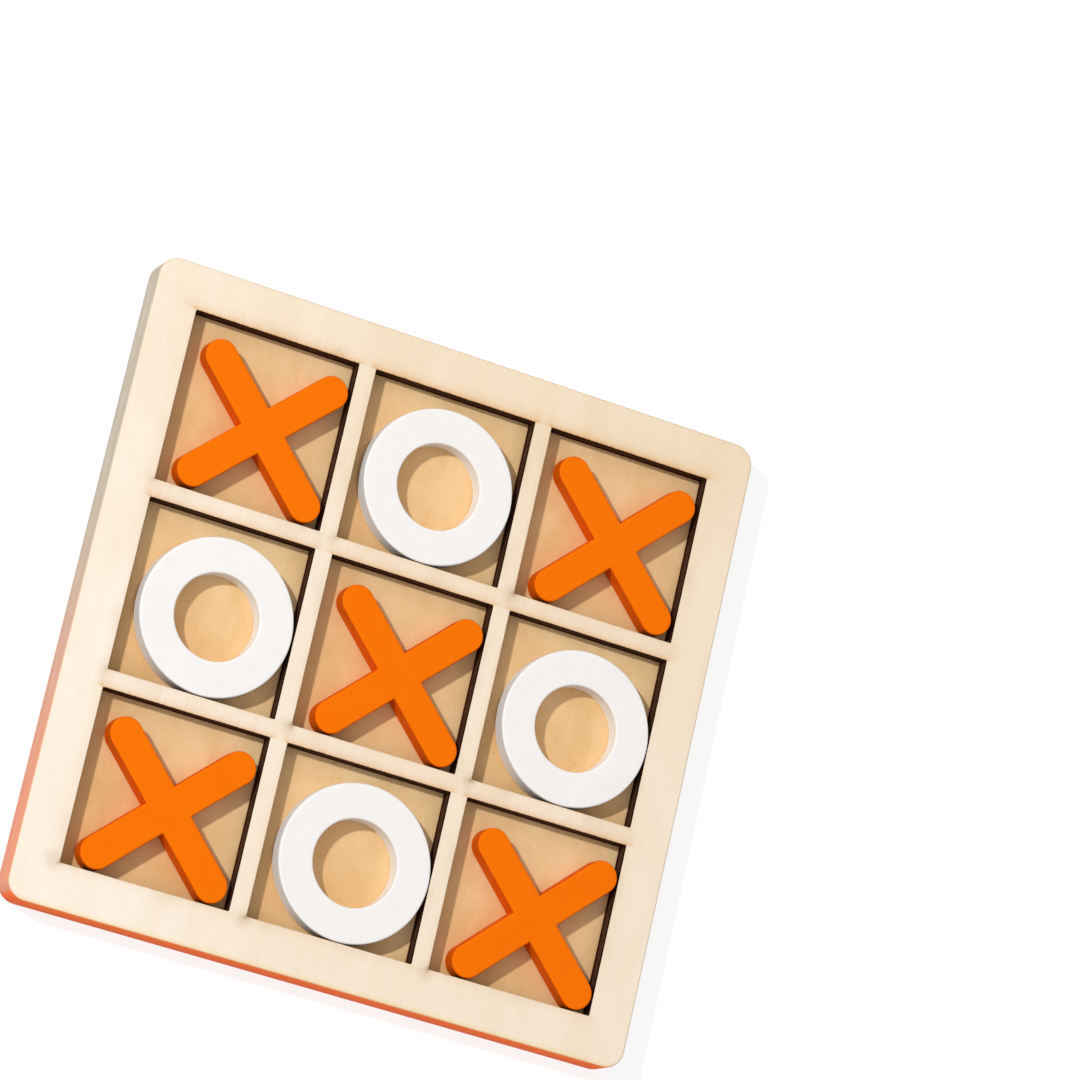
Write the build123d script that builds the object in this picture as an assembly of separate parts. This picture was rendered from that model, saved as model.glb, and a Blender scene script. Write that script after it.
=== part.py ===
from build123d import *
import os

# Tic tac toe set: a square plywood board with nine recessed cells, five wooden crosses and
# four wooden rings. The board is two plywood panels glued face to face: a plain base and a
# lattice whose nine square windows make the cells. Each panel is three glued plies.
#
# Frame: millimetres, +Z up, origin at the centre of the board's underside.
# +X runs to the right along a row of cells, +Y runs up a column, and the grain follows Y.

# Board outline and cells
CELL = 39.0                 # side of one square cell
BAR = 4.0                   # width of the bar between two cells
BORDER = 10.0               # width of the rim around the nine cells
ROWS = 3
PITCH = CELL + BAR
BOARD = ROWS * CELL + (ROWS - 1) * BAR + 2 * BORDER
OUTER_CORNER_R = 4.5        # rounded corners of the board
CELL_CORNER_R = 0.3         # laser-cut inner corners of a cell

# Plywood panels: face ply, core ply, face ply
FACE_PLY = 0.9
CORE_PLY = 2.2
PANEL = 2 * FACE_PLY + CORE_PLY
RIM_EASING = 0.35           # sanded outer edges, above and below

# Crosses: two crossed arms with round ends
ARM_LENGTH = 44.8           # tip to tip
ARM_WIDTH = 7.5
ARM_ANGLES = (45, -45)      # the arms lie along the cell's diagonals

# Rings
RING_OUTER_R = 17.6
RING_INNER_R = 9.7

# All the playing pieces
PIECE_THICKNESS = 4.4       # a little more than the depth of a cell
PIECE_EASING = 0.4          # painted edges, rounded over

# Where each piece lies: its kind, its cell as (column, row) counted from the centre, how far
# it has slid from the middle of the cell as (x, y), and how far it is turned in degrees.
PIECES = {
    "x_piece_upper_left": ("cross", (-1, 1), (1.6, -1.9), -0.3),
    "o_piece_upper": ("ring", (0, 1), (0.7, -1.75), 0.0),
    "x_piece_upper_right": ("cross", (1, 1), (1.4, -2.0), 0.2),
    "o_piece_left": ("ring", (-1, 0), (1.4, -1.7), 0.0),
    "x_piece_centre": ("cross", (0, 0), (1.9, -2.1), 0.0),
    "o_piece_right": ("ring", (1, 0), (1.65, -1.75), 0.0),
    "x_piece_lower_left": ("cross", (-1, -1), (1.1, -2.1), -0.3),
    "o_piece_lower": ("ring", (0, -1), (1.65, -1.75), 0.0),
    "x_piece_lower_right": ("cross", (1, -1), (2.1, -2.2), 0.0),
}


def cell_centre(column, row):
    """Centre of a cell on the board, counted from the middle cell."""
    return column * PITCH, row * PITCH


def base_ply(thickness):
    """One ply of the plain base panel, with its underside at height zero."""
    return extrude(RectangleRounded(BOARD, BOARD, OUTER_CORNER_R), thickness)


def lattice_ply(thickness):
    """One ply of the lattice panel: the base's outline less the nine cells."""
    outline = RectangleRounded(BOARD, BOARD, OUTER_CORNER_R)
    windows = GridLocations(PITCH, PITCH, ROWS, ROWS) * RectangleRounded(CELL, CELL, CELL_CORNER_R)
    return extrude(outline - windows, thickness)


def ease_rim(ply, height):
    """Round over the outer edge of a face ply at the given height, and leave the cells sharp."""
    half = BOARD / 2 - OUTER_CORNER_R - 1
    level = ply.edges().filter_by_position(Axis.Z, height - 0.01, height + 0.01)
    rim = [e for e in level if max(abs(e.center().X), abs(e.center().Y)) > half]
    return fillet(rim, RIM_EASING)


def ease_piece(piece):
    """Round over every edge of a piece's two flat faces."""
    rims = piece.edges().filter_by(lambda e: abs(e.center().Z) < 0.01)
    rims += piece.edges().filter_by(lambda e: abs(e.center().Z - PIECE_THICKNESS) < 0.01)
    return fillet(rims, PIECE_EASING)


def cross():
    """A cross standing on height zero, centred on the origin."""
    outline = Sketch()
    for angle in ARM_ANGLES:
        outline += Rot(Z=angle) * SlotOverall(ARM_LENGTH, ARM_WIDTH)
    return ease_piece(extrude(outline, PIECE_THICKNESS))


def ring():
    """A ring standing on height zero, centred on the origin."""
    return ease_piece(extrude(Circle(RING_OUTER_R) - Circle(RING_INNER_R), PIECE_THICKNESS))


def board_nodes():
    """The six plies of the board, stacked from the underside up."""
    nodes = {}
    height = 0.0
    for panel, make in (("base", base_ply), ("lattice", lattice_ply)):
        for ply, thickness in (("bottom", FACE_PLY), ("core", CORE_PLY), ("top", FACE_PLY)):
            solid = make(thickness)
            if (panel, ply) == ("base", "bottom"):
                solid = ease_rim(solid, 0.0)
            if (panel, ply) == ("lattice", "top"):
                solid = ease_rim(solid, thickness)
            nodes[f"{panel}_{ply}_ply"] = Pos(0, 0, height) * solid
            height += thickness
    return nodes


def piece_nodes():
    """The nine playing pieces, each lying in its own cell on the base panel."""
    nodes = {}
    shapes = {"cross": cross(), "ring": ring()}
    for name, (kind, cell, slide, turn) in PIECES.items():
        x, y = cell_centre(*cell)
        place = Pos(x + slide[0], y + slide[1], PANEL) * Rot(Z=turn)
        nodes[name] = place * shapes[kind]
    return nodes


os.makedirs("parts", exist_ok=True)
for node, shape in {**board_nodes(), **piece_nodes()}.items():
    export_step(shape, f"parts/{node}.step")
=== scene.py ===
import math

import bmesh
import bpy
import numpy as np
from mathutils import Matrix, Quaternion, Vector, noise


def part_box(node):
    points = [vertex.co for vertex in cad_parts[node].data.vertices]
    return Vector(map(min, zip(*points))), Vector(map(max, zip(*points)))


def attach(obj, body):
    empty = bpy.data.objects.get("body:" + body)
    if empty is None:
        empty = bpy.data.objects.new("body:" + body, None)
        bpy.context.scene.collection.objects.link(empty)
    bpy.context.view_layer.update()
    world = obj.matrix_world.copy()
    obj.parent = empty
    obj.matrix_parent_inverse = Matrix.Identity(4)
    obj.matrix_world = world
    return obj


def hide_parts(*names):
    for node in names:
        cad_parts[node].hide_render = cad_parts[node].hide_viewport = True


# A plywood tic tac toe board with painted wooden crosses and rings. Lengths are in metres unless
# a name ends in _MM: the shaders work in millimetres, because grain and scorch marks are that size.

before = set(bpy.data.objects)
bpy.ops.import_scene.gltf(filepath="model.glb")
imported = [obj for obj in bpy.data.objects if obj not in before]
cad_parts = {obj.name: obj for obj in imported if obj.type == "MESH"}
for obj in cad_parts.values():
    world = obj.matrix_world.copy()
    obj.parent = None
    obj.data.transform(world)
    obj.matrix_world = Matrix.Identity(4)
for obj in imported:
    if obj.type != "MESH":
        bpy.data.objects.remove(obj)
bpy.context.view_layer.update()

MM = 0.001

# Board layout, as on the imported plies
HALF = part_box("lattice_top_ply")[1].x
CELL = 39 * MM
PITCH = 43 * MM
CORNER_RADIUS = 4.5 * MM
CELL_CORNER = 0.3 * MM
COLUMNS = (-1, 0, 1)            # the three cells of a row, counted from the middle one

# Edges of the plies
RIM_EASING = 0.35 * MM          # sanded edge round the outside of the board
PLY_SEAM = 0.04 * MM            # the tiny groove where two plies meet
PANEL_SEAM = 0.08 * MM          # the wider one where the two panels are glued together
CELL_EDGE = 0.04 * MM           # a laser-cut edge, barely blunted by the burn
CORE_RECESS = 0.05 * MM         # the core burns back a little further than the faces
RAGGED = 0.035 * MM             # how far a burnt edge wanders
CUT_BAND = 0.2 * MM             # points this close to a cell's wall belong to its burnt edge
LONG_WAVES = 900                # waves per metre of a burnt edge's wander
SHORT_WAVES = 2600              # and of the weaker, finer wander on top of it
RIM_LINES = 8                   # grid lines across the board's rounded corners
CELL_LINES = 13                 # grid lines across a cell, between its corners, per fineness

# Playing pieces
ARM_LENGTH = 44.8 * MM
ARM_WIDTH = 7.5 * MM
RING_OUTER = 17.6 * MM
RING_INNER = 9.7 * MM
PIECE_EASING = 0.4 * MM
PAINT_SAG = 0.04 * MM           # paint lies this much lower in its hollows
PLY_LINE = 0.03 * MM            # how deep a ply line shows through the paint of a side
PLY_LINE_HALF = 0.07 * MM       # half its width
PLY_LINE_SHARES = (0.24, 0.76)  # where the two lie, as shares of the thickness
SAG_WAVES = 160                 # waves per metre of the sagging paint
SIDE_WAVES = 130                # and of the sides
SIDE_WANDER = 0.0025            # share of a piece's size by which its sides wander
CROSS_TURNS = {                 # degrees that each cross is turned in its cell
    "x_piece_upper_left": -0.3,
    "x_piece_upper_right": 0.2,
    "x_piece_centre": 0.0,
    "x_piece_lower_left": -0.3,
    "x_piece_lower_right": 0.0,
}
RINGS = ("o_piece_upper", "o_piece_left", "o_piece_right", "o_piece_lower")

# Meshes
SHARP_ANGLE = math.radians(50)  # edges that turn more than this stay sharp
SAME_POINT = 1e-7               # vertices closer than this are merged
SAME_EDGE = 1e-8                # edges shorter than this are collapsed


# ---------------------------------------------------------------- meshes

def make_object(name, verts, faces, material):
    """A mesh object from raw geometry: doubles merged, smooth with sharp corners kept."""
    mesh = bpy.data.meshes.new(name)
    mesh.from_pydata([tuple(v) for v in verts], [], faces)
    obj = bpy.data.objects.new(name, mesh)
    bpy.context.scene.collection.objects.link(obj)
    merge_doubles(mesh)
    mesh.materials.append(material)
    mesh.shade_smooth()
    mesh.set_sharp_from_angle(angle=SHARP_ANGLE)
    weighted = obj.modifiers.new("weighted_normals", "WEIGHTED_NORMAL")
    weighted.keep_sharp = True
    return obj


def merge_doubles(mesh):
    """Join the vertices that patches share, drop collapsed faces and turn every face outwards."""
    bm = bmesh.new()
    bm.from_mesh(mesh)
    bmesh.ops.remove_doubles(bm, verts=bm.verts, dist=SAME_POINT)
    bmesh.ops.dissolve_degenerate(bm, edges=bm.edges, dist=SAME_EDGE)
    bmesh.ops.recalc_face_normals(bm, faces=bm.faces)
    bm.to_mesh(mesh)
    bm.free()


class Patches:
    """Collects grids of quads into one list of vertices and faces."""

    def __init__(self):
        self.verts = []
        self.faces = []

    def grid(self, points, keep=None):
        """Add a grid of points, shape (rows, columns, 3). keep says which quads to make."""
        rows, columns = points.shape[:2]
        start = len(self.verts)
        self.verts.extend(points.reshape(-1, 3))
        for r in range(rows - 1):
            for c in range(columns - 1):
                if keep is None or keep[r, c]:
                    a = start + r * columns + c
                    self.faces.append((a, a + 1, a + columns + 1, a + columns))

    def loops(self, rings):
        """Join closed loops of points, each of shape (count, 3), into one band."""
        stack = np.array([np.vstack([ring, ring[:1]]) for ring in rings])
        self.grid(stack)


def quarter_round(radius, steps):
    """Points (inset, drop) of a rounded edge, from the side up to the face."""
    turns = np.linspace(0, math.pi / 2, steps + 1)
    return [(radius * (1 - math.cos(t)), radius * (1 - math.sin(t))) for t in turns]


def side_profile(low, high, below, above, steps=4):
    """Points (inset, height) up a side, with its two edges rounded by below and above."""
    lower = [(i, low + d) for i, d in reversed(quarter_round(below, steps))]
    upper = [(i, high - d) for i, d in quarter_round(above, steps)]
    return lower + upper


# ---- the board's plies

def grid_lines(inset, outset, fine):
    """Lines across the board, with the outside drawn in by inset and the cells widened by outset.
    They lie closer together over every rounded corner."""
    corner = CELL_CORNER + outset
    edges = [(-HALF + inset, RIM_LINES), (-HALF + CORNER_RADIUS, 4 * fine)]
    for column in COLUMNS:
        left = column * PITCH - CELL / 2 - outset
        right = column * PITCH + CELL / 2 + outset
        edges += [(left, 2), (left + corner, CELL_LINES * fine), (right - corner, 2)]
        edges.append((right, 4 * fine if column == COLUMNS[-1] else 2 * fine))
    edges += [(HALF - CORNER_RADIUS, RIM_LINES), (HALF - inset, 0)]
    lines = []
    for (start, steps), (stop, _) in zip(edges, edges[1:]):
        lines.extend(np.linspace(start, stop, steps, endpoint=False))
    lines.append(edges[-1][0])
    return np.array(lines)


def cell_spans(fine):
    """First and last grid line of each of the three cells in a row."""
    across = CELL_LINES * fine + 4
    starts = [RIM_LINES + 4 * fine + k * (across + 2 * fine) for k in range(len(COLUMNS))]
    return [(start, start + across) for start in starts]


def round_cell_corners(level, fine, radius):
    """Move the five grid points round each cell's corner onto its small arc."""
    # steps along x and y from the corner, and the place on the arc in degrees
    turns = [(0, 2, 0.0), (0, 1, 22.5), (0, 0, 45.0), (1, 0, 67.5), (2, 0, 90.0)]
    for x0, x1 in cell_spans(fine):
        for y0, y1 in cell_spans(fine):
            for ix, sx in ((x0, 1), (x1, -1)):
                for iy, sy in ((y0, 1), (y1, -1)):
                    corner = level[ix, iy, :2].copy()
                    for across, up, turn in turns:
                        u = radius * (1 - math.cos(math.radians(turn)))
                        v = radius * (1 - math.sin(math.radians(turn)))
                        point = corner + (sx * u, sy * v)
                        level[ix + sx * across, iy + sy * up, :2] = point


def ply_level(height, inset, outset, fine):
    """The whole grid of one level of a ply, with the board's corners rounded."""
    lines = grid_lines(inset, outset, fine)
    x, y = np.meshgrid(lines, lines, indexing="ij")
    core = HALF - CORNER_RADIUS
    radius = CORNER_RADIUS - inset
    u = (np.abs(x) - core) / radius
    v = (np.abs(y) - core) / radius
    corner = (u > 1e-9) & (v > 1e-9)
    reach = np.maximum(u, v)
    angle = math.pi / 2 * v / np.where(corner, u + v, 1)
    x = np.where(corner, np.sign(x) * (core + radius * reach * np.cos(angle)), x)
    y = np.where(corner, np.sign(y) * (core + radius * reach * np.sin(angle)), y)
    level = np.stack([x, y, np.full_like(x, height)], -1)
    round_cell_corners(level, fine, CELL_CORNER + outset)
    return level


def border(level, first_x, last_x, first_y, last_y):
    """The loop of grid points round a rectangle of a level."""
    return np.concatenate([
        level[first_x:last_x, first_y],
        level[last_x, first_y:last_y],
        level[last_x:first_x:-1, last_y],
        level[first_x, last_y:first_y:-1],
    ])


def cell_distance(points):
    """Distance of each point from the nearest cell's wall in plan, and the way out of the cell."""
    middle = np.clip(np.round(points[:, :2] / PITCH), -1, 1) * PITCH
    offset = points[:, :2] - middle
    reach = np.abs(offset) - CELL / 2
    along_x = reach[:, 0] > reach[:, 1]
    out = np.where(along_x[:, None], [1, 0], [0, 1]) * np.sign(offset)
    return reach.max(1), out


def burn_edges(verts):
    """Let the cut edges of the cells wander a little, as a laser leaves them."""
    points = np.array(verts)
    distance, out = cell_distance(points)
    for k in np.nonzero(np.abs(distance) < CUT_BAND)[0]:
        long_wave = noise.noise(Vector(points[k] * LONG_WAVES))
        short_wave = noise.noise(Vector(points[k] * SHORT_WAVES))
        points[k, :2] += out[k] * RAGGED * (long_wave + 0.6 * short_wave)
    return points


def build_ply(node, material, below, above, windows, recess, fine):
    """One ply of the board: its two faces, its outer side and the walls of its cells.
    below and above round its outer edges, and recess widens its windows."""
    low, high = (corner.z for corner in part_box(node))
    outer = side_profile(low, high, below, above)
    inner = side_profile(low, high, PLY_SEAM, CELL_EDGE)
    levels = [ply_level(z, inset, widening + recess, fine)
              for (inset, z), (widening, _) in zip(outer, inner)]
    walls = [ply_level(z, 0, widening + recess, fine) for widening, z in inner]
    spans = cell_spans(fine)
    keep = np.ones((levels[0].shape[0] - 1,) * 2, bool)
    patches = Patches()
    if windows:
        for x0, x1 in spans:
            for y0, y1 in spans:
                keep[x0:x1, y0:y1] = False
                patches.loops([border(wall, x0, x1, y0, y1) for wall in walls])
    last = levels[0].shape[0] - 1
    patches.grid(levels[0], keep)
    patches.grid(levels[-1], keep)
    patches.loops([border(level, 0, last, 0, last) for level in levels])
    verts = burn_edges(patches.verts) if windows else patches.verts
    ply = make_object(node + "_detail", verts, patches.faces, material)
    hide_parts(node)
    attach(ply, "board")
    return ply


# ---- the playing pieces

def painted_profile(thickness):
    """Points (inset, height) up a painted side, with a faint line at each of its two glue lines."""
    points = side_profile(0, thickness, PIECE_EASING, PIECE_EASING, steps=6)
    for share in PLY_LINE_SHARES:
        for offset, depth in ((-PLY_LINE_HALF, 0), (0, PLY_LINE), (PLY_LINE_HALF, 0)):
            points.append((depth, thickness * share + offset))
    return sorted(points, key=lambda point: point[1])


def weather(points, thickness, seed):
    """Sag the paint on the upper face and let the sides wander a little, inside the CAD size."""
    shift = Vector((seed * 7.3, seed * 3.1, seed * 5.7))
    for p in points:
        share = p[2] / thickness
        sag = 0.5 + 0.5 * noise.noise(Vector(p * SAG_WAVES) + shift)
        plan = Vector((p[0] * SIDE_WAVES, p[1] * SIDE_WAVES, 0))
        wander = 0.5 + 0.5 * noise.noise(plan - shift)
        p[2] -= PAINT_SAG * sag * share ** 2
        p[:2] *= 1 - SIDE_WANDER * wander
    return points


def place_piece(node, patches, material, turn):
    """Turn a piece by degrees, lay it where its CAD node lies and let it ride on its own body."""
    low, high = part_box(node)
    thickness = high.z - low.z
    seed = sorted([*CROSS_TURNS, *RINGS]).index(node)
    points = weather(np.array(patches.verts), thickness, seed)
    c, s = math.cos(math.radians(turn)), math.sin(math.radians(turn))
    points[:, :2] = points[:, :2] @ np.array([[c, s], [-s, c]])
    points += np.array([(low.x + high.x) / 2, (low.y + high.y) / 2, low.z])
    piece = make_object(node + "_painted", points, patches.faces, material)
    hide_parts(node)
    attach(piece, node)
    return piece


def cross_outline(inset, height, side_steps, tip_steps):
    """Closed loop round a cross at one height, its sides drawn in by inset."""
    half = ARM_WIDTH / 2 - inset
    end = (ARM_LENGTH - ARM_WIDTH) / 2
    along = np.linspace(half, end, side_steps, endpoint=False)
    tip = np.linspace(-math.pi / 2, math.pi / 2, tip_steps + 1)
    s = np.concatenate([along, end + half * np.cos(tip), along[:0:-1]])
    t = np.concatenate([np.full(side_steps, -half), half * np.sin(tip), np.full(side_steps - 1, half)])
    loop = []
    for quarter in range(4):
        angle = math.radians(45 + 90 * quarter)
        x = s * math.cos(angle) - t * math.sin(angle)
        y = s * math.sin(angle) + t * math.cos(angle)
        loop.append(np.stack([x, y, np.full_like(x, height)], -1))
    return np.concatenate(loop)


def cross_face(patches, inset, height, side_steps, tip_steps, across):
    """The flat face of a cross: a square, four arms and four half discs, edge to edge.
    across is the number of quads in half the width of an arm."""
    half = ARM_WIDTH / 2 - inset
    end = (ARM_LENGTH - ARM_WIDTH) / 2
    t = half * np.linspace(-1, 1, 2 * across + 1)
    arm_s, arm_t = np.meshgrid(np.linspace(half, end, side_steps + 1), t, indexing="ij")
    tip = np.linspace(-math.pi / 2, math.pi / 2, tip_steps + 1)
    reach, turn = np.meshgrid(half * np.linspace(0, 1, across + 1), tip, indexing="ij")
    parts = [(arm_s, arm_t), (end + reach * np.cos(turn), reach * np.sin(turn))]
    for quarter in range(4):
        angle = math.radians(45 + 90 * quarter)
        for s, w in parts:
            x = s * math.cos(angle) - w * math.sin(angle)
            y = s * math.sin(angle) + w * math.cos(angle)
            patches.grid(np.stack([x, y, np.full_like(x, height)], -1))
    a, b = np.meshgrid(t, t, indexing="ij")
    c = math.sqrt(0.5)
    patches.grid(np.stack([c * (a - b), c * (a + b), np.full_like(a, height)], -1))


def build_cross(node, turn, material):
    """One painted cross."""
    low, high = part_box(node)
    profile = painted_profile(high.z - low.z)
    side_steps, tip_steps, across = 22, 20, 7
    patches = Patches()
    patches.loops([cross_outline(i, z, side_steps, tip_steps) for i, z in profile])
    for inset, height in (profile[0], profile[-1]):
        cross_face(patches, inset, height, side_steps, tip_steps, across)
    return place_piece(node, patches, material, turn)


def build_ring(node, material):
    """One painted ring, turned from a closed section."""
    low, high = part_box(node)
    profile = painted_profile(high.z - low.z)
    section = [(RING_OUTER - inset, z) for inset, z in profile]
    top_outer, top_inner = section[-1][0], RING_INNER + profile[-1][0]
    section += [(r, profile[-1][1]) for r in np.linspace(top_outer, top_inner, 13)[1:-1]]
    section += [(RING_INNER + inset, z) for inset, z in reversed(profile)]
    section += [(r, profile[0][1]) for r in np.linspace(top_inner, top_outer, 7)[1:-1]]
    section.append(section[0])
    turns = np.linspace(0, 2 * math.pi, 181)[:-1]
    rings = []
    for radius, z in section:
        x, y = radius * np.cos(turns), radius * np.sin(turns)
        rings.append(np.stack([x, y, np.full_like(turns, z)], -1))
    patches = Patches()
    patches.loops(rings)
    return place_piece(node, patches, material, 0)


# ---------------------------------------------------------------- materials

class Shader:
    """Short calls for wiring one material. Positions are in millimetres."""

    def __init__(self, name, roughness, specular):
        self.material = bpy.data.materials.new(name)
        self.material.use_nodes = True
        self.tree = self.material.node_tree
        self.bsdf = self.tree.nodes["Principled BSDF"]
        self.bsdf.inputs["Roughness"].default_value = roughness
        self.bsdf.inputs["Specular IOR Level"].default_value = specular
        place = self.tree.nodes.new("ShaderNodeTexCoord")
        self.position = self.vector("SCALE", place.outputs["Object"], scale=1000)
        self.x, self.y, self.z = self.split(self.position)
        self.upward = self.split(place.outputs["Normal"])[2]

    def feed(self, socket, value):
        """Link a socket to another, or set it to a plain value."""
        if isinstance(value, bpy.types.NodeSocket):
            self.tree.links.new(value, socket)
        elif isinstance(value, tuple) and len(value) == 3 and socket.type == "RGBA":
            socket.default_value = (*value, 1)
        else:
            socket.default_value = value

    def split(self, vector):
        """The three components of a vector."""
        node = self.tree.nodes.new("ShaderNodeSeparateXYZ")
        self.tree.links.new(vector, node.inputs[0])
        return list(node.outputs)

    def math(self, operation, a, b=0.0):
        """One step of arithmetic on one or two values."""
        node = self.tree.nodes.new("ShaderNodeMath")
        node.operation = operation
        self.feed(node.inputs[0], a)
        self.feed(node.inputs[1], b)
        return node.outputs[0]

    def combine(self, operation, values):
        """Any number of values, combined from left to right."""
        result = values[0]
        for value in values[1:]:
            result = self.math(operation, result, value)
        return result

    def product(self, *factors):
        """The factors multiplied together."""
        return self.combine("MULTIPLY", factors)

    def sum(self, *terms):
        """The terms added up."""
        return self.combine("ADD", terms)

    def largest(self, *values):
        """The largest of the values."""
        return self.combine("MAXIMUM", values)

    def difference(self, a, b):
        """a minus b."""
        return self.math("SUBTRACT", a, b)

    def size(self, a):
        """a without its sign."""
        return self.math("ABSOLUTE", a)

    def clamp(self, value, lowest, highest):
        """value, held between two limits."""
        return self.math("MINIMUM", self.largest(value, lowest), highest)

    def length(self, a, b):
        """Length of the plan vector (a, b)."""
        return self.math("SQRT", self.sum(self.product(a, a), self.product(b, b)))

    def vector(self, operation, a, b=None, scale=None):
        """One step of arithmetic on vectors."""
        node = self.tree.nodes.new("ShaderNodeVectorMath")
        node.operation = operation
        self.feed(node.inputs[0], a)
        if b is not None:
            self.feed(node.inputs[1], b)
        if scale is not None:
            self.feed(node.inputs["Scale"], scale)
        return node.outputs[0]

    def noise(self, per_x, per_y, per_z, offset, detail=3.0, roughness=0.5, distortion=0.0):
        """Noise whose features are this many millimetres long along each axis."""
        scaled = self.vector("MULTIPLY", self.position, (1 / per_x, 1 / per_y, 1 / per_z))
        node = self.tree.nodes.new("ShaderNodeTexNoise")
        self.feed(node.inputs["Vector"], self.vector("ADD", scaled, offset))
        node.inputs["Scale"].default_value = 1.0
        node.inputs["Detail"].default_value = detail
        node.inputs["Roughness"].default_value = roughness
        node.inputs["Distortion"].default_value = distortion
        return node.outputs["Fac"]

    def fade(self, value, start, stop, first=0.0, last=1.0):
        """A smooth step of value from first at start to last at stop."""
        node = self.tree.nodes.new("ShaderNodeMapRange")
        node.interpolation_type = "SMOOTHSTEP"
        self.feed(node.inputs["Value"], value)
        ranges = {"From Min": start, "From Max": stop, "To Min": first, "To Max": last}
        for socket, number in ranges.items():
            self.feed(node.inputs[socket], number)
        return node.outputs["Result"]

    def blend(self, share, first, second, kind="MIX"):
        """A colour between first, where share is 0, and second, where it is 1."""
        node = self.tree.nodes.new("ShaderNodeMix")
        node.data_type = "RGBA"
        node.blend_type = kind
        self.feed(node.inputs["Factor"], share)
        first_input, second_input = [socket for socket in node.inputs if socket.type == "RGBA"]
        self.feed(first_input, first)
        self.feed(second_input, second)
        return [socket for socket in node.outputs if socket.type == "RGBA"][0]

    def tint(self, share, colour, by):
        """Darken a colour through a filter, as smoke or scorch does."""
        return self.blend(share, colour, by, "MULTIPLY")

    def finish(self, colour, height, depth_mm, roughness=None):
        """Set the colour, a relief in millimetres and, where given, a roughness map."""
        self.feed(self.bsdf.inputs["Base Color"], colour)
        if roughness is not None:
            self.feed(self.bsdf.inputs["Roughness"], roughness)
        bump = self.tree.nodes.new("ShaderNodeBump")
        bump.inputs["Distance"].default_value = depth_mm * MM
        self.feed(bump.inputs["Height"], height)
        self.tree.links.new(bump.outputs["Normal"], self.bsdf.inputs["Normal"])
        return self.material


# ---- distances on the board, in millimetres

CELL_MM = CELL / MM
PITCH_MM = PITCH / MM
HALF_MM = HALF / MM
CORNER_MM = CORNER_RADIUS / MM
BOARD_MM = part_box("lattice_top_ply")[1].z / MM
GLUED_PLIES = (
    # the plies with another one glued on top
    "base_bottom_ply", "base_core_ply", "base_top_ply", "lattice_bottom_ply", "lattice_core_ply",
)
GLUE_LINES_MM = [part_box(node)[1].z / MM for node in GLUED_PLIES]
WALL_TO_SIDE_MM = (-1.2, -0.8)  # upright faces further in than this are cell walls, not the outer side


def cell_offset(s, coordinate):
    """Where a coordinate lies from the middle of the nearest cell."""
    nearest = s.clamp(s.math("ROUND", s.math("DIVIDE", coordinate, PITCH_MM)), -1.0, 1.0)
    return s.difference(coordinate, s.product(nearest, PITCH_MM))


def cell_reach(s, coordinate):
    """How far a coordinate lies beyond the nearest cell's edge; negative inside the cell."""
    return s.difference(s.size(cell_offset(s, coordinate)), CELL_MM / 2)


def beyond_cell(s, coordinate):
    """How far a coordinate lies beyond the nearest cell's edge; zero inside the cell."""
    return s.largest(cell_reach(s, coordinate), 0.0)


def outside_cells(s):
    """Distance from the nearest cell, in plan."""
    return s.length(beyond_cell(s, s.x), beyond_cell(s, s.y))


def past_edge(s, coordinate, way):
    """How far a coordinate lies past the last cell edge that faces the given way (1 or -1)."""
    along = s.product(coordinate, way)
    steps = s.math("DIVIDE", s.difference(along, CELL_MM / 2), PITCH_MM)
    steps = s.clamp(s.math("FLOOR", steps), -1.0, 1.0)
    return s.difference(s.difference(along, s.product(steps, PITCH_MM)), CELL_MM / 2)


def beyond_rim(s):
    """Distance from the board's outer side; negative inside it."""
    straight = HALF_MM - CORNER_MM
    over_x = s.largest(s.difference(s.size(s.x), straight), 0.0)
    over_y = s.largest(s.difference(s.size(s.y), straight), 0.0)
    return s.difference(s.length(over_x, over_y), CORNER_MM)


# ---- wood colours; a FILTER is what a full share of that mark leaves of the colour under it

FACE_PALE = (0.945, 0.858, 0.758)
FACE_YELLOW = (0.885, 0.745, 0.565)
FLOOR_PALE = (0.890, 0.630, 0.345)
FLOOR_DARK = (0.790, 0.510, 0.240)
GRAIN_FILTER = (0.925, 0.865, 0.76)
SCORCH_FILTER = (0.85, 0.58, 0.33)
BURN_FILTER = (0.42, 0.22, 0.10)
SMOKE_FILTER = (0.76, 0.69, 0.59)
SOOT_FILTER = (0.45, 0.40, 0.34)
RIM_FILTER = (0.90, 0.85, 0.78)
PAINTED_ORANGE_FRINGE_FILTER = (1.0, 0.93, 0.72)       # painted orange reflected light on the face above the front side
SLOPE_FILTER = (0.95, 0.85, 0.76)       # the warmer lower left part of a cell's floor
RIPPLE_FILTER = (0.90, 0.84, 0.76)      # fine marks across the floor's grain
PIN_FILTER = (0.60, 0.45, 0.30)         # small dark knots in the floor
NEAR_WALL_FILTER = (0.75, 0.55, 0.38)     # darker, streaky band on the floor beside a cell's wall
SEAM_FILTER = (0.25, 0.13, 0.08)        # the dark line where floor and wall meet
CORE_FILTER = (0.86, 0.83, 0.80)
GLUE_FILTER = (0.62, 0.52, 0.42)
CHAR = (0.019, 0.0035, 0.0010)
CHAR_CORE = (0.046, 0.020, 0.010)
CHAR_RIDGE = 1.8                        # how much lighter the ridges of a charred wall are
SIDE_PALE = (0.57, 0.51, 0.425)
SIDE_DARK = (0.40, 0.34, 0.265)
SIDE_PORE = (0.22, 0.17, 0.12)
PAINTED_ORANGE_LIGHT_HIGH = (0.95, 0.19, 0.038)         # painted orange reflected light at the board's upper edge
PAINTED_ORANGE_LIGHT_LOW = (0.76, 0.105, 0.016)         # and at its lower edge


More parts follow.
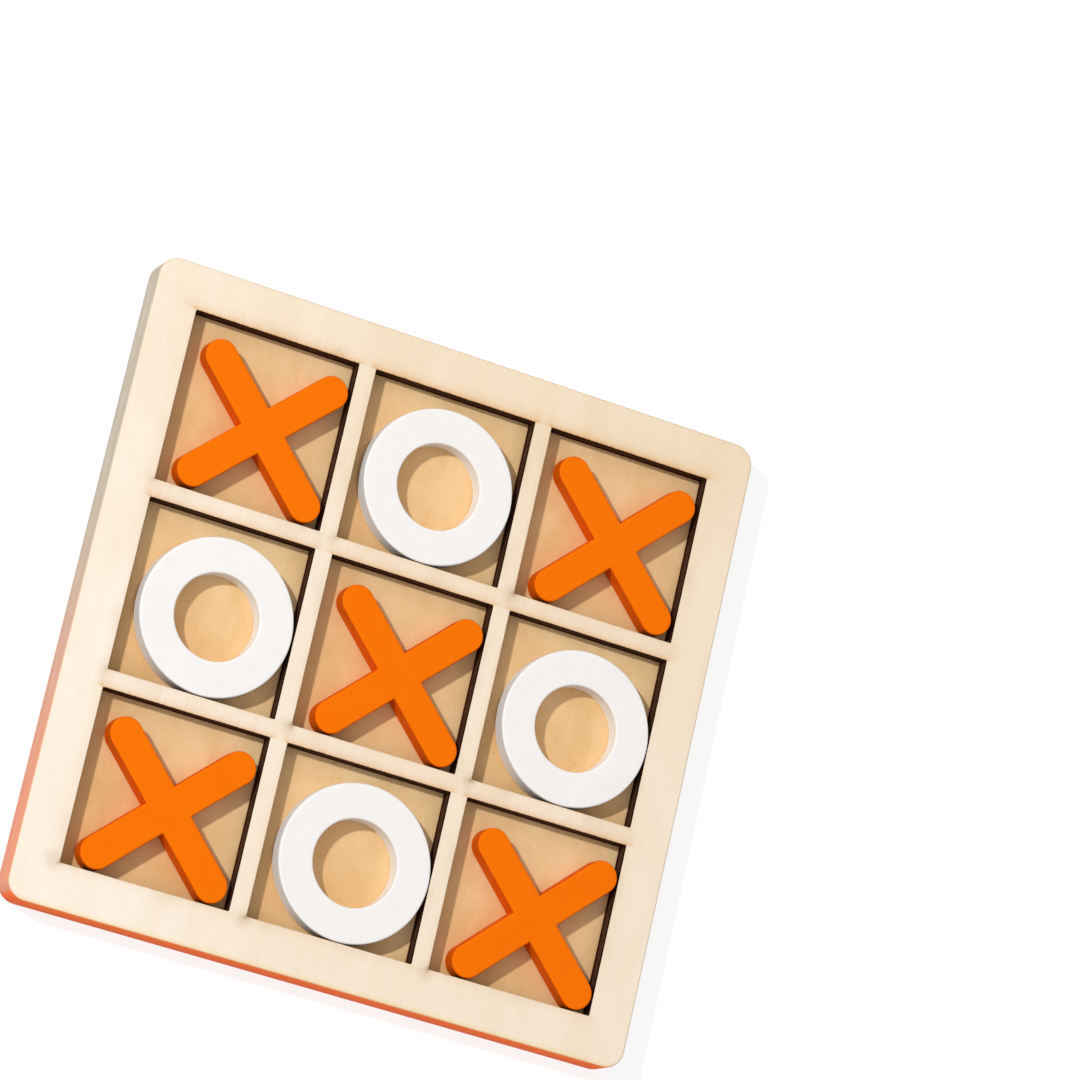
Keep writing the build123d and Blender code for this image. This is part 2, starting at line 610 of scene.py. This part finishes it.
def wood_grain(s, offset, width=1.0):
    """How dark the grain is at a point, and the relief of its fibres. The grain runs along Y, and
    width scales its broad figure across."""
    broad = s.noise(11 * width, 34, 30, offset, 2, 0.5, 0.5)
    bands = s.noise(1.3 * width, 26, 8, offset, 3, 0.55, 0.3)
    fibres = s.noise(0.20, 3.2, 1.5, offset, 3, 0.65)
    flecks = s.noise(0.28, 1.6, 1.2, offset, 2, 0.5)
    share = s.sum(s.product(s.fade(broad, 0.3, 0.7), 0.36),
                  s.product(s.fade(bands, 0.3, 0.75), 0.16),
                  s.product(s.fade(fibres, 0.35, 0.75), 0.20),
                  s.product(s.fade(flecks, 0.58, 0.78), 0.22))
    return share, s.sum(s.product(fibres, 0.8), s.product(bands, 0.2))


# ---- the outer side

# The outer sides carry painted light: orange light reflected onto the front side and the lower left
# side, put into their colour.
FRONT_ORANGE_LIGHT_MM = (2.6, 0.8)      # from where to where the painted orange light comes in, measured from the front side
LEFT_ORANGE_LIGHT_MM = (3.2, 1.4)       # and from the left side
LEFT_ORANGE_LIGHT_Y_MM = (-60, 25)      # it thins out between these places up the left side
LEFT_ORANGE_LIGHT_SHARE = 0.50


def side_colour(s, across, offset):
    """The outer side of a ply, and its relief. Its fibres run along Y, or along X if across is true."""
    sizes = (9.0, 0.20, 0.11) if across else (0.20, 9.0, 0.11)
    fibres = s.noise(*sizes, offset, 4, 0.7)
    patches = s.noise(7, 7, 0.7, offset, 3, 0.55)
    pores = s.noise(0.28, 0.28, 0.22, offset, 2, 0.6)
    share = s.sum(s.fade(fibres, 0.35, 0.7, 0.0, 0.6), s.fade(patches, 0.35, 0.75, 0.0, 0.45))
    colour = s.blend(s.math("MINIMUM", share, 1.0), SIDE_PALE, SIDE_DARK)
    colour = s.blend(s.fade(pores, 0.66, 0.78, 0.0, 0.45), colour, SIDE_PORE)
    if across:
        colour = s.tint(0.7, colour, CORE_FILTER)
    for level in GLUE_LINES_MM:
        away = s.size(s.difference(s.z, level))
        colour = s.tint(s.fade(away, 0.03, 0.12, 0.7, 0.0), colour, GLUE_FILTER)
    # painted orange reflected light over the bare ply of the side
    colour = s.blend(painted_orange_light_share(s, fibres), colour, painted_orange_light_colour(s, fibres))
    return colour, s.difference(fibres, s.fade(pores, 0.6, 0.75))


def painted_orange_light_colour(s, fibres):
    """The colour of the painted orange reflected light, lighter towards the board's upper edge."""
    height = s.sum(s.fade(s.z, 0.0, BOARD_MM, 0.0, 0.8), s.fade(fibres, 0.35, 0.7, 0.2, -0.15))
    return s.blend(s.largest(height, 0.0), PAINTED_ORANGE_LIGHT_LOW, PAINTED_ORANGE_LIGHT_HIGH)


def painted_orange_light_share(s, fibres):
    """Share of the painted orange reflected light on the outer side: all of the front, thinning out up
    the left.
    """
    front = s.fade(s.y, *(inward - HALF_MM for inward in FRONT_ORANGE_LIGHT_MM))
    left = s.fade(s.x, *(inward - HALF_MM for inward in LEFT_ORANGE_LIGHT_MM))
    left = s.product(left, s.fade(s.y, *LEFT_ORANGE_LIGHT_Y_MM, LEFT_ORANGE_LIGHT_SHARE, 0.0))
    left = s.product(left, s.fade(fibres, 0.35, 0.65, 0.75, 1.35))
    return s.largest(front, left)


# ---- marks of the laser

SCORCHED_EDGES = (
    # axis and way that the cell's edge faces, and how strong the scorch beside it is
    ("y", 1.0, 0.95),
    ("y", -1.0, 0.30),
    ("x", -1.0, 0.25),
    ("x", 1.0, 0.06),
)

SMUDGES = (
    # column and row of the cell, strength, and how far the smoke lies from its lower left corner,
    # in millimetres
    (0, -1, 1.0, -0.5, -0.7),
    (1, -1, 1.0, -0.5, -0.7),
    (0, 0, 0.9, -0.7, -0.4),
    (1, 0, 1.0, -0.7, -0.4),
    (1, 1, 0.9, -0.7, -0.4),
    (-1, -1, 0.8, -2.0, 0.3),
    (-1, 0, 0.35, -0.8, -0.2),
    (-1, 1, 0.35, -0.8, -0.2),
    (0, 1, 0.45, -0.7, -0.4),
)


def scorch_halo(s, offset):
    """Shares of the pale scorch and of the thin burnt line beside the cut edges of the cells."""
    streaks = s.noise(0.30, 4.0, 4.0, offset, 4, 0.6)
    patchy = s.noise(9, 9, 9, offset, 2, 0.5)
    reach = s.product(s.fade(streaks, 0.3, 0.7, 0.80, 1.20), s.fade(patchy, 0.3, 0.7, 0.80, 1.15), 1.05)
    beyond_x, beyond_y = beyond_cell(s, s.x), beyond_cell(s, s.y)
    parts = []
    for axis, way, strength in SCORCHED_EDGES:
        along, other = (s.x, beyond_y) if axis == "x" else (s.y, beyond_x)
        past = past_edge(s, along, way)
        distance = s.length(s.largest(past, 0.0), other)
        decay = s.math("EXPONENT", s.math("DIVIDE", s.product(distance, -1.0), reach))
        parts.append(s.product(decay, s.fade(past, -0.12, -0.02), strength))
    weaker_on_bars = s.fade(s.size(s.y), HALF_MM - 11.5, HALF_MM - 9.0, 0.78, 1.0)
    halo = s.math("MINIMUM", s.product(s.sum(*parts), weaker_on_bars), 1.0)
    line = s.product(s.fade(outside_cells(s), 0.05, 0.32, 1.0, 0.0), s.fade(streaks, 0.38, 0.66), halo)
    return halo, line


def smudges(s, offset):
    """Shares of the smoke and of the soot at each cell's lower left corner, where its cut began."""
    billow = s.noise(2.6, 2.6, 2.6, offset, 3, 0.6)
    smoke = []
    soot = []
    for column, row, strength, shift_x, shift_y in SMUDGES:
        corner_x = column * PITCH_MM - CELL_MM / 2
        corner_y = row * PITCH_MM - CELL_MM / 2
        broad = s.length(s.product(s.difference(s.x, corner_x + shift_x), 0.38),
                         s.product(s.difference(s.y, corner_y + shift_y), 0.34))
        tight = s.length(s.difference(s.x, corner_x), s.difference(s.y, corner_y))
        smoke.append(s.fade(s.sum(broad, s.product(billow, 0.8)), 0.35, 1.5, strength, 0.0))
        soot.append(s.fade(s.sum(tight, billow), 0.5, 1.7, strength, 0.0))
    return s.largest(*smoke), s.largest(*soot)


def burnt_wall(s, wall, offset):
    """The charred wall of a cell, and its relief."""
    cut = s.noise(0.30, 0.30, 2.6, offset, 4, 0.7)
    ridge = tuple(c * CHAR_RIDGE for c in wall)
    return s.blend(s.fade(cut, 0.35, 0.75), wall, ridge), cut


# ---- the board's materials

RELIEF_MM = 0.025               # depth of the wood's relief
STEEP = (0.55, 0.85)            # a face turns from a side into a top as its normal's height passes these


def face_wood(s, grain, rim, offset):
    """Colour of the lattice's bare upper face, with smoke, scorch, a darker outer rim, painted falloff
    of the light and painted orange light along the front edge.
    """
    # partly the wood's own tone, partly painted falloff of the light: yellower and darker towards the
    # right and the top
    yellowing_and_painted_falloff = s.sum(s.fade(s.x, -70, 25, 0.0, 0.5), s.fade(s.y, -10, 70, 0.0, 0.5))
    wood = s.blend(yellowing_and_painted_falloff, FACE_PALE, FACE_YELLOW)
    wood = s.tint(grain, wood, GRAIN_FILTER)
    haze = s.noise(6, 14, 9, offset, 3, 0.55)
    near_cells = s.fade(outside_cells(s), 0.5, 3.5, 1.0, 0.0)
    wood = s.tint(s.product(near_cells, s.fade(haze, 0.48, 0.75, 0.0, 0.30)), wood, SMOKE_FILTER)
    smoke, soot = smudges(s, offset)
    wood = s.tint(s.product(smoke, 0.6), wood, SMOKE_FILTER)
    wood = s.tint(s.product(soot, 0.5), wood, SOOT_FILTER)
    halo, line = scorch_halo(s, offset)
    wood = s.tint(halo, wood, SCORCH_FILTER)
    wood = s.tint(line, wood, BURN_FILTER)
    # darker along the outer rounded edge
    wood = s.tint(s.fade(rim, -0.45, -0.2), wood, RIM_FILTER)
    # painted orange reflected light on the face along the front edge
    return s.tint(s.fade(s.y, 1.4 - HALF_MM, 0.4 - HALF_MM, 0.0, 0.8), wood, PAINTED_ORANGE_FRINGE_FILTER)


def face_material(name, offset):
    """The lattice's upper ply: bare veneer above, charred in the cells, bare on the outer side."""
    s = Shader(name, 0.7, 0.06)
    grain, relief = wood_grain(s, offset)
    rim = beyond_rim(s)
    upright = s.fade(s.upward, *STEEP, 1.0, 0.0)
    on_side = s.product(upright, s.fade(rim, *WALL_TO_SIDE_MM))
    on_wall = s.product(upright, s.fade(rim, *WALL_TO_SIDE_MM, 1.0, 0.0))
    side, side_relief = side_colour(s, False, offset)
    burnt, cut = burnt_wall(s, CHAR, offset)
    colour = s.blend(on_side, face_wood(s, grain, rim, offset), side)
    colour = s.blend(on_wall, colour, burnt)
    relief = s.sum(relief, s.product(side_relief, upright), s.product(cut, on_wall, 2.0))
    return s.finish(colour, relief, RELIEF_MM, s.sum(s.product(on_wall, 0.2), 0.7))


def inner_material(name, wall, across, offset):
    """A lattice ply that shows only as cell wall and outer side."""
    s = Shader(name, 0.85, 0.06)
    side, side_relief = side_colour(s, across, offset)
    burnt, cut = burnt_wall(s, wall, offset)
    inside = s.fade(beyond_rim(s), *WALL_TO_SIDE_MM, 1.0, 0.0)
    relief = s.sum(side_relief, s.product(cut, inside))
    return s.finish(s.blend(inside, side, burnt), relief, RELIEF_MM)


def floor_wood(s, grain, offset):
    """Colour of the cells' floors: cloudy veneer, darker along the walls."""
    clouds = s.noise(7, 10, 10, offset, 3, 0.55)
    share = s.sum(grain, s.fade(clouds, 0.3, 0.7, -0.15, 0.45))
    wood = s.blend(s.clamp(share, 0.0, 1.0), FLOOR_PALE, FLOOR_DARK)
    slope = s.fade(s.sum(cell_offset(s, s.x), cell_offset(s, s.y)), -24, 20, 1.0, 0.0)
    wood = s.tint(slope, wood, SLOPE_FILTER)
    ripples = s.noise(2.6, 0.20, 1.0, offset, 3, 0.6)
    wood = s.tint(s.fade(ripples, 0.40, 0.75, 0.0, 0.5), wood, RIPPLE_FILTER)
    pins = s.noise(0.7, 1.5, 3, offset, 2, 0.5)
    wood = s.tint(s.fade(pins, 0.72, 0.79, 0.0, 0.55), wood, PIN_FILTER)
    from_wall = s.product(s.largest(cell_reach(s, s.x), cell_reach(s, s.y)), -1.0)
    streaks = s.noise(0.5, 2.5, 3, offset, 3, 0.6)
    reach = s.math("DIVIDE", from_wall, s.fade(streaks, 0.3, 0.7, 0.4, 1.3))
    # darker, streaky band on the floor beside each wall
    wood = s.tint(s.fade(reach, 0.0, 0.8, 0.25, 0.0), wood, NEAR_WALL_FILTER)
    return s.tint(s.fade(reach, 0.0, 0.12, 0.6, 0.0), wood, SEAM_FILTER)


def base_material(name, across, offset):
    """A ply of the base: the floors of the cells above, veneer below and the outer side."""
    s = Shader(name, 0.68, 0.10)
    grain, relief = wood_grain(s, offset, 2.0)
    veneer = s.tint(grain, FACE_PALE, GRAIN_FILTER)
    underside = s.fade(s.upward, -0.5, 0.0, 1.0, 0.0)
    wood = s.blend(underside, floor_wood(s, grain, offset), veneer)
    upright = s.fade(s.size(s.upward), *STEEP, 1.0, 0.0)
    side, side_relief = side_colour(s, across, offset)
    relief = s.sum(relief, s.product(side_relief, upright))
    return s.finish(s.blend(upright, wood, side), relief, RELIEF_MM)


# ---- paint and stage

def paint_material(name, colour, thin, grime, painted_side_shade, roughness, specular, offset):
    """Smooth paint over wood: the grain shows as a faint relief, and the sides and rounded edges are
    darkened by painted shade.
    """
    s = Shader(name, roughness, specular)
    cloud = s.noise(5, 5, 5, offset, 3, 0.55)
    grain = s.noise(0.30, 6, 1.5, offset, 3, 0.6)
    peel = s.noise(0.45, 0.45, 0.45, offset, 2, 0.5)
    specks = s.noise(0.75, 0.9, 0.9, offset, 1, 0.5)
    tone = s.blend(s.fade(cloud, 0.35, 0.7), colour, thin)
    tone = s.blend(s.fade(grain, 0.55, 0.8, 0.0, 0.30), tone, thin)
    tone = s.blend(s.fade(specks, 0.76, 0.82, 0.0, 0.30), tone, grime)
    plies = s.noise(3.0, 3.0, 0.35, offset, 3, 0.6)
    # painted shade: the sides and rounded edges darker the steeper they stand, with faint ply lines
    # through the paint of the sides
    painted_shade_share = s.fade(s.size(s.upward), 0.6, 0.95, 1.0, 0.0)
    tone = s.tint(painted_shade_share, tone, painted_side_shade)
    tone = s.tint(s.product(painted_shade_share, s.fade(plies, 0.52, 0.72, 0.0, 0.45)), tone, painted_side_shade)
    relief = s.sum(s.product(grain, 0.6), s.product(peel, 0.5))
    return s.finish(tone, relief, 0.012, s.fade(cloud, 0.3, 0.7, roughness - 0.04, roughness + 0.05))


STAGE_HALF = 1.6                # half the stage's width
STAGE_GAP = 0.02 * MM           # how far the stage lies below the board
STAGE_GREYS = ((0.24, 0.24, 0.24), (0.26, 0.26, 0.26))
STAGE_GLOW = 0.80


def stage_material():
    """The pale, plain floor. It gives some light of its own, as a lit sweep does."""
    s = Shader("stage_floor", 0.9, 0.0)
    mottle = s.noise(40, 40, 40, (0, 0, 0), 2, 0.5)
    s.bsdf.inputs["Emission Color"].default_value = (1, 1, 1, 1)
    s.bsdf.inputs["Emission Strength"].default_value = STAGE_GLOW
    return s.finish(s.blend(mottle, *STAGE_GREYS), mottle, 0.01)


# ---------------------------------------------------------------- the object

lattice_face = face_material("lattice_face_veneer", (3.0, 1.0, 0.0))
lattice_core = inner_material("lattice_core_veneer", CHAR_CORE, True, (9.0, 4.0, 2.0))
lattice_back = inner_material("lattice_back_veneer", CHAR, False, (5.0, 8.0, 1.0))
base_face = base_material("base_face_veneer", False, (17.0, 6.0, 0.0))
base_core = base_material("base_core_veneer", True, (1.0, 2.0, 3.0))
base_back = base_material("base_back_veneer", False, (4.0, 2.0, 5.0))
orange = paint_material(
    "orange_paint", colour=(0.905, 0.172, 0.0005), thin=(0.895, 0.166, 0.0005),
    grime=(0.70, 0.10, 0.001), painted_side_shade=(0.80, 0.60, 0.60),
    roughness=0.50, specular=0.04, offset=(2.0, 5.0, 1.0))
white = paint_material(
    "white_paint", colour=(0.892, 0.872, 0.857), thin=(0.878, 0.856, 0.838),
    grime=(0.70, 0.67, 0.63), painted_side_shade=(0.88, 0.86, 0.84),
    roughness=0.50, specular=0.22, offset=(6.0, 3.0, 2.0))

PLIES = (
    # node, material, lower edge, upper edge, has cells, recess, grid fineness
    ("base_bottom_ply", base_back, RIM_EASING, PLY_SEAM, False, 0.0, 1),
    ("base_core_ply", base_core, PLY_SEAM, PLY_SEAM, False, 0.0, 1),
    ("base_top_ply", base_face, PLY_SEAM, PANEL_SEAM, False, 0.0, 1),
    ("lattice_bottom_ply", lattice_back, PANEL_SEAM, PLY_SEAM, True, 0.0, 2),
    ("lattice_core_ply", lattice_core, PLY_SEAM, PLY_SEAM, True, CORE_RECESS, 2),
    ("lattice_top_ply", lattice_face, PLY_SEAM, RIM_EASING, True, 0.0, 2),
)
for row in PLIES:
    ply = build_ply(*row)
for node, turn in CROSS_TURNS.items():
    build_cross(node, turn, orange)
for node in RINGS:
    build_ring(node, white)


# ---------------------------------------------------------------- stage, light and camera

def add_stage():
    """A pale floor under the board."""
    patches = Patches()
    lines = np.linspace(-STAGE_HALF, STAGE_HALF, 9)
    x, y = np.meshgrid(lines, lines, indexing="ij")
    patches.grid(np.stack([x, y, np.full_like(x, -STAGE_GAP)], -1))
    floor = make_object("stage_floor", patches.verts, patches.faces, stage_material())


def add_light(name, watts, colour, position, target, size):
    """A round soft lamp pointing at a target."""
    data = bpy.data.lights.new(name, "AREA")
    data.shape = "DISK"
    data.energy = watts
    data.color = colour
    data.size = size
    lamp = bpy.data.objects.new(name, data)
    lamp.location = position
    aim = Vector(target) - Vector(position)
    lamp.rotation_mode = "QUATERNION"
    lamp.rotation_quaternion = aim.to_track_quat("-Z", "Y")
    bpy.context.scene.collection.objects.link(lamp)


def add_camera(position, target, roll, lens):
    """The camera, turned about its own line of sight by roll degrees."""
    data = bpy.data.cameras.new("camera")
    data.lens = lens
    data.sensor_width = 36
    camera = bpy.data.objects.new("camera", data)
    camera.location = position
    aim = Vector(target) - Vector(position)
    camera.rotation_mode = "QUATERNION"
    turn = Quaternion((0, 0, 1), math.radians(roll))
    camera.rotation_quaternion = aim.to_track_quat("-Z", "Y") @ turn
    bpy.context.scene.collection.objects.link(camera)
    bpy.context.scene.camera = camera


def add_sky(strength, colour):
    """Even soft light from all round."""
    world = bpy.data.worlds.new("studio")
    world.use_nodes = True
    background = world.node_tree.nodes["Background"]
    background.inputs["Color"].default_value = (*colour, 1)
    background.inputs["Strength"].default_value = strength
    bpy.context.scene.world = world


add_stage()
add_sky(strength=0.605, colour=(1.0, 0.96, 0.945))
add_light("key", watts=19.2, colour=(1.0, 1.03, 1.03), position=(-1.225, 0.29, 1.2),
          target=(0, 0, 0), size=0.09)
add_camera(position=(-0.35010, -0.24372, 1.04494), target=(0.026717, 0.036946, 0.008),
           roll=68.656, lens=171.17)
bpy.context.scene.view_settings.view_transform = "Standard"
